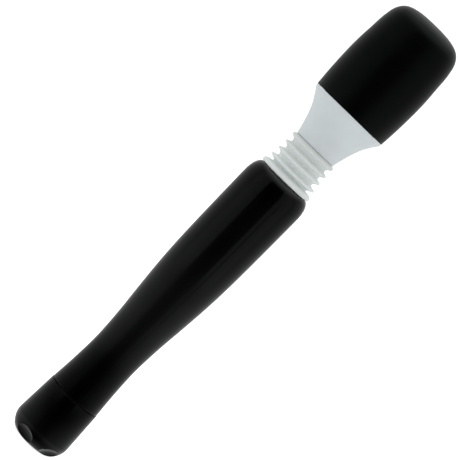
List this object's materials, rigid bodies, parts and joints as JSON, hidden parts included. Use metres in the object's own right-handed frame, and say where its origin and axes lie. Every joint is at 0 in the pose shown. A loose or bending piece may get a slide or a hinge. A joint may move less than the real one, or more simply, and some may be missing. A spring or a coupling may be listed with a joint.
{
  "type": "battery wand massager",
  "caption": "Slim handheld battery massager: waisted black handle with twist dial and battery door in its base, bending ribbed white neck, flared collar and a motor head under a soft cover.",
  "frame": {"origin": "centre of the flat foot of the dial at the wand's base", "axes": "+Z along the wand from base to head; +Y is the side of the battery bay where the return strip runs; the front is -Y"},
  "size_m": [0.0354, 0.0354, 0.2216],
  "materials": {
    "gloss_black": "gloss",
    "satin_black": "satin",
    "soft_cover": "matte",
    "white_shell": "satin",
    "white_flexible": "satin",
    "natural_plastic": "satin",
    "circuit_board": "satin",
    "seal": "satin",
    "cell": "gloss",
    "brass": "satin",
    "copper": "satin",
    "steel": "satin",
    "ferrite": "matte",
    "red_insulation": "satin",
    "black_insulation": "satin"
  },
  "bodies": {
    "handle": {"handle_shell": "gloss_black", "battery_tube": "natural_plastic", "bus_strip": "brass", "contact_carrier": "natural_plastic", "positive_contact": "brass", "neck_socket": "satin_black"},
    "battery_door": {"door_plug": "satin_black", "door_terminal": "brass", "door_seal": "seal", "speed_track": "circuit_board", "contact_plate": "brass", "contact_spring": "steel"},
    "speed_dial": {"dial_cap": "gloss_black", "speed_wiper": "brass", "dial_clip": "steel"},
    "lower_battery": {"lower_cell": "cell"},
    "upper_battery": {"upper_cell": "cell"},
    "neck": {"neck_sleeve": "white_flexible", "neck_spring": "steel", "red_lead": "red_insulation", "black_lead": "black_insulation"},
    "head": {"head_collar": "white_shell", "head_dome": "white_shell", "head_cover": "soft_cover", "motor_cradle": "natural_plastic", "motor_clamp": "natural_plastic", "clamp_screw_front": "steel", "clamp_screw_rear": "steel", "motor_can": "steel", "motor_end_bell": "natural_plastic", "motor_terminal_red": "copper", "motor_terminal_black": "copper", "magnet_left": "ferrite", "magnet_right": "ferrite"},
    "rotor": {"armature": "copper", "commutator": "copper", "motor_shaft": "steel", "eccentric_weight": "brass"}
  },
  "joints": [
    {"name": "battery_door_pull", "type": "slide", "parent": "handle", "child": "battery_door", "axis": [0, 0, -1], "range_m": [0, 0.125]},
    {"name": "lower_battery_slide", "type": "slide", "parent": "handle", "child": "lower_battery", "axis": [0, 0, -1], "range_m": [0, 0.1]},
    {"name": "upper_battery_slide", "type": "slide", "parent": "handle", "child": "upper_battery", "axis": [0, 0, -1], "range_m": [0, 0.097]},
    {"name": "speed_dial_turn", "type": "hinge", "parent": "battery_door", "child": "speed_dial", "pos_m": [0, 0, 0.012], "axis": [0, 0, 1], "range_deg": [0, 270]},
    {"name": "neck_tilt_side", "type": "hinge", "parent": "handle", "child": "neck", "pos_m": [0, 0, 0.1463], "axis": [0, 1, 0], "range_deg": [-12, 12], "stiffness_Nm_per_rad": 1.7, "deforming": ["neck_sleeve", "neck_spring", "red_lead", "black_lead"]},
    {"name": "neck_tilt_front", "type": "hinge", "parent": "neck", "child": "head", "pos_m": [0, 0, 0.1534], "axis": [1, 0, 0], "range_deg": [-12, 12], "stiffness_Nm_per_rad": 1.7, "deforming": ["neck_sleeve", "neck_spring", "red_lead", "black_lead"]},
    {"name": "motor_spin", "type": "hinge", "parent": "head", "child": "rotor", "pos_m": [0, 0, 0.19], "axis": [0, 0, 1], "continuous": true}
  ],
  "couplings": [
    {"joint": "lower_battery_slide", "follows": "battery_door_pull", "ratio": 0.8},
    {"joint": "upper_battery_slide", "follows": "battery_door_pull", "ratio": 0.776}
  ]
}
